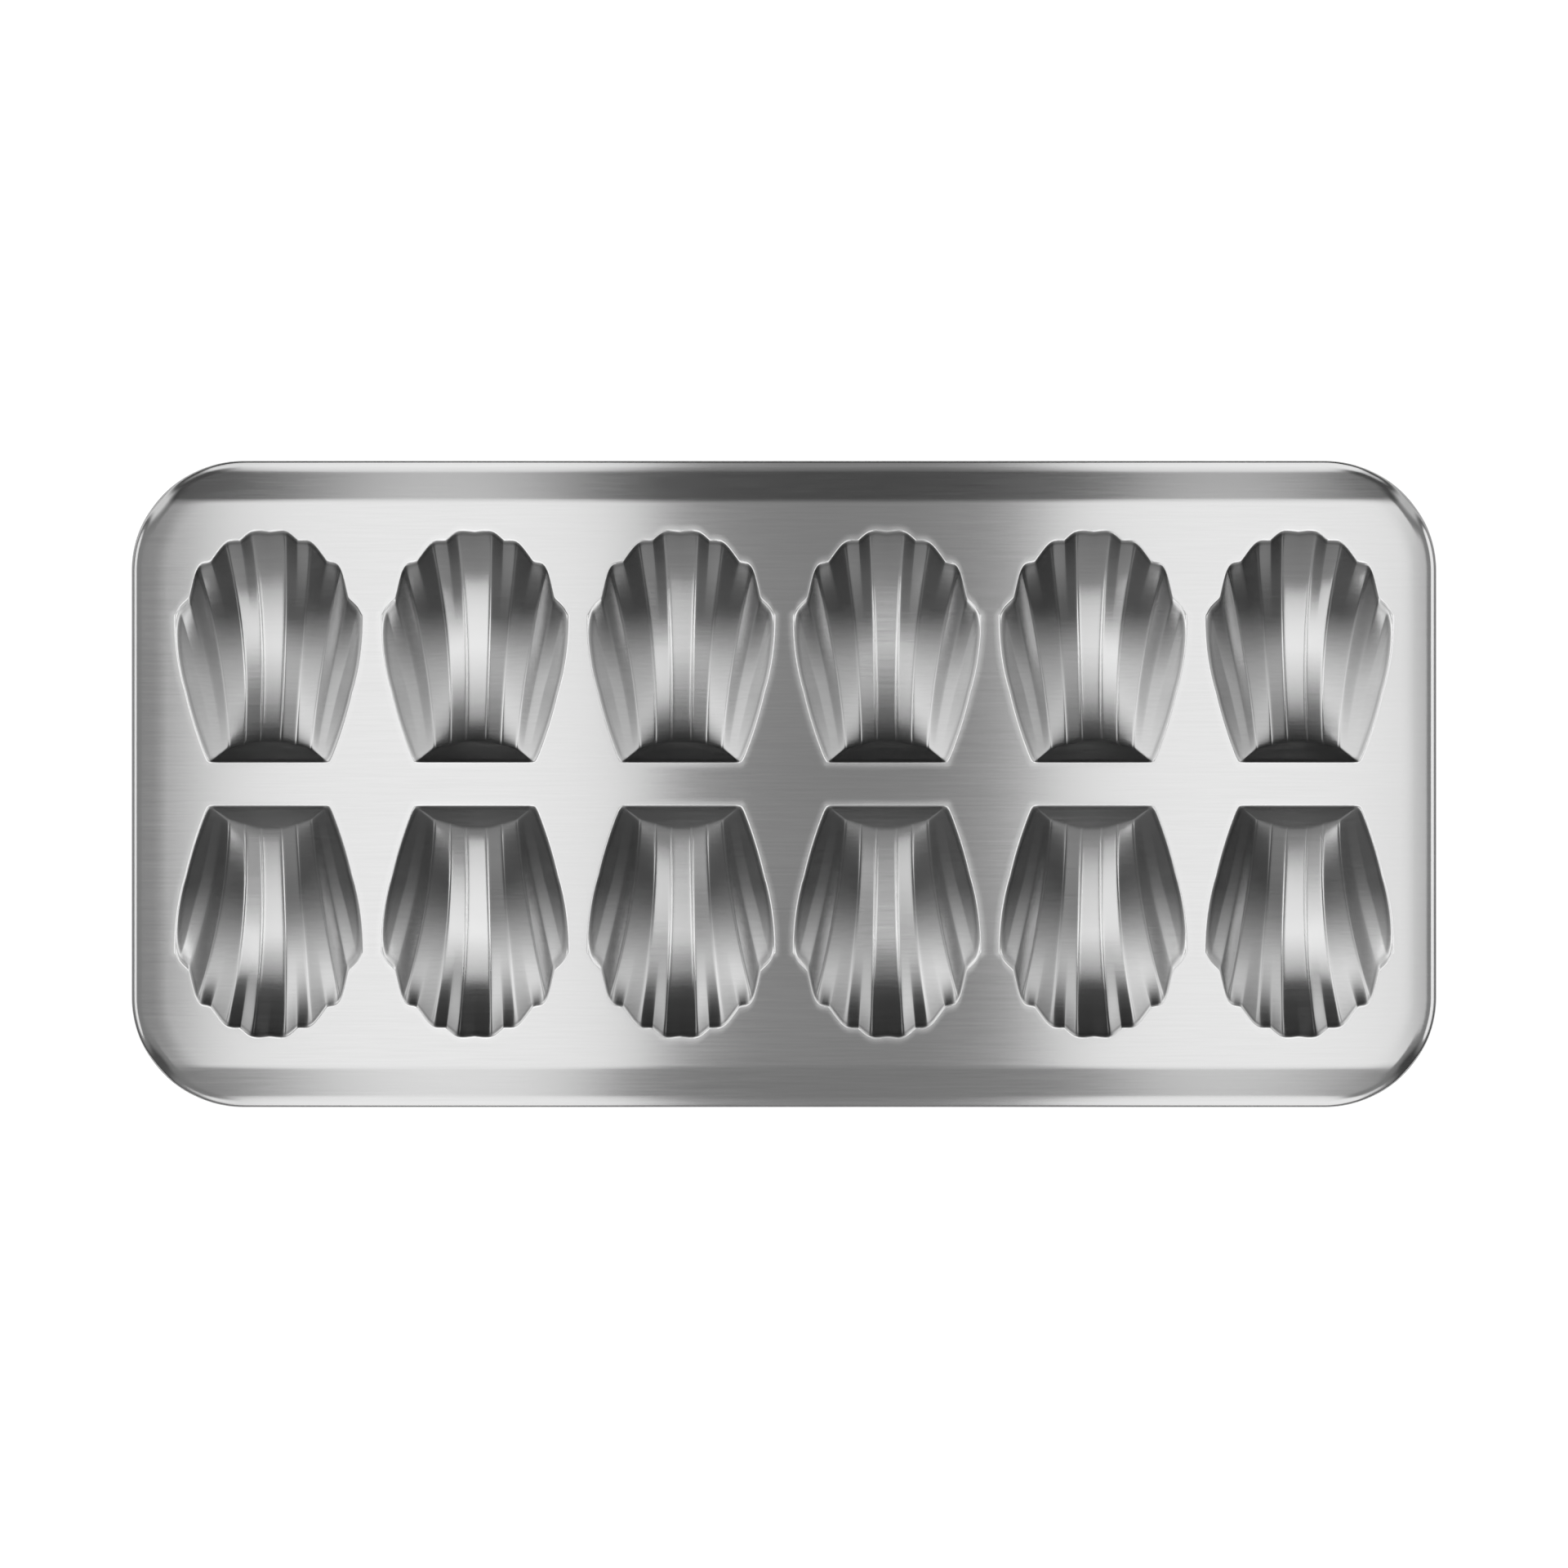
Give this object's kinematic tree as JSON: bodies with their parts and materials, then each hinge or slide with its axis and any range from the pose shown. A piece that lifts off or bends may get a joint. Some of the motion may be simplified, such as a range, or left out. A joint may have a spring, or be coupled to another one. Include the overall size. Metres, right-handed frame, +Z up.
{
  "type": "madeleine pan",
  "caption": "Long low steel baking pan with rounded corners, sloped long sides, a rolled rim and rows of fluted shell-shaped moulds for baking madeleines.",
  "frame": {"origin": "on the resting surface, below the middle of the pan", "axes": "+X along the pan, +Y towards the rear row of moulds, +Z up, out of the mould mouths"},
  "size_m": [0.4, 0.1986, 0.0131],
  "materials": {
    "pressed_steel": "fine brushed steel sheet, grain along the pan",
    "rim_wire": "plain drawn steel wire"
  },
  "bodies": {
    "root": {"tray_sheet": "pressed_steel", "rolled_rim": "pressed_steel", "rim_wire": "rim_wire", "shell_mould_rear_1": "pressed_steel", "shell_mould_rear_2": "pressed_steel", "shell_mould_rear_3": "pressed_steel", "shell_mould_rear_4": "pressed_steel", "shell_mould_rear_5": "pressed_steel", "shell_mould_rear_6": "pressed_steel", "shell_mould_front_1": "pressed_steel", "shell_mould_front_2": "pressed_steel", "shell_mould_front_3": "pressed_steel", "shell_mould_front_4": "pressed_steel", "shell_mould_front_5": "pressed_steel", "shell_mould_front_6": "pressed_steel"}
  },
  "joints": []
}
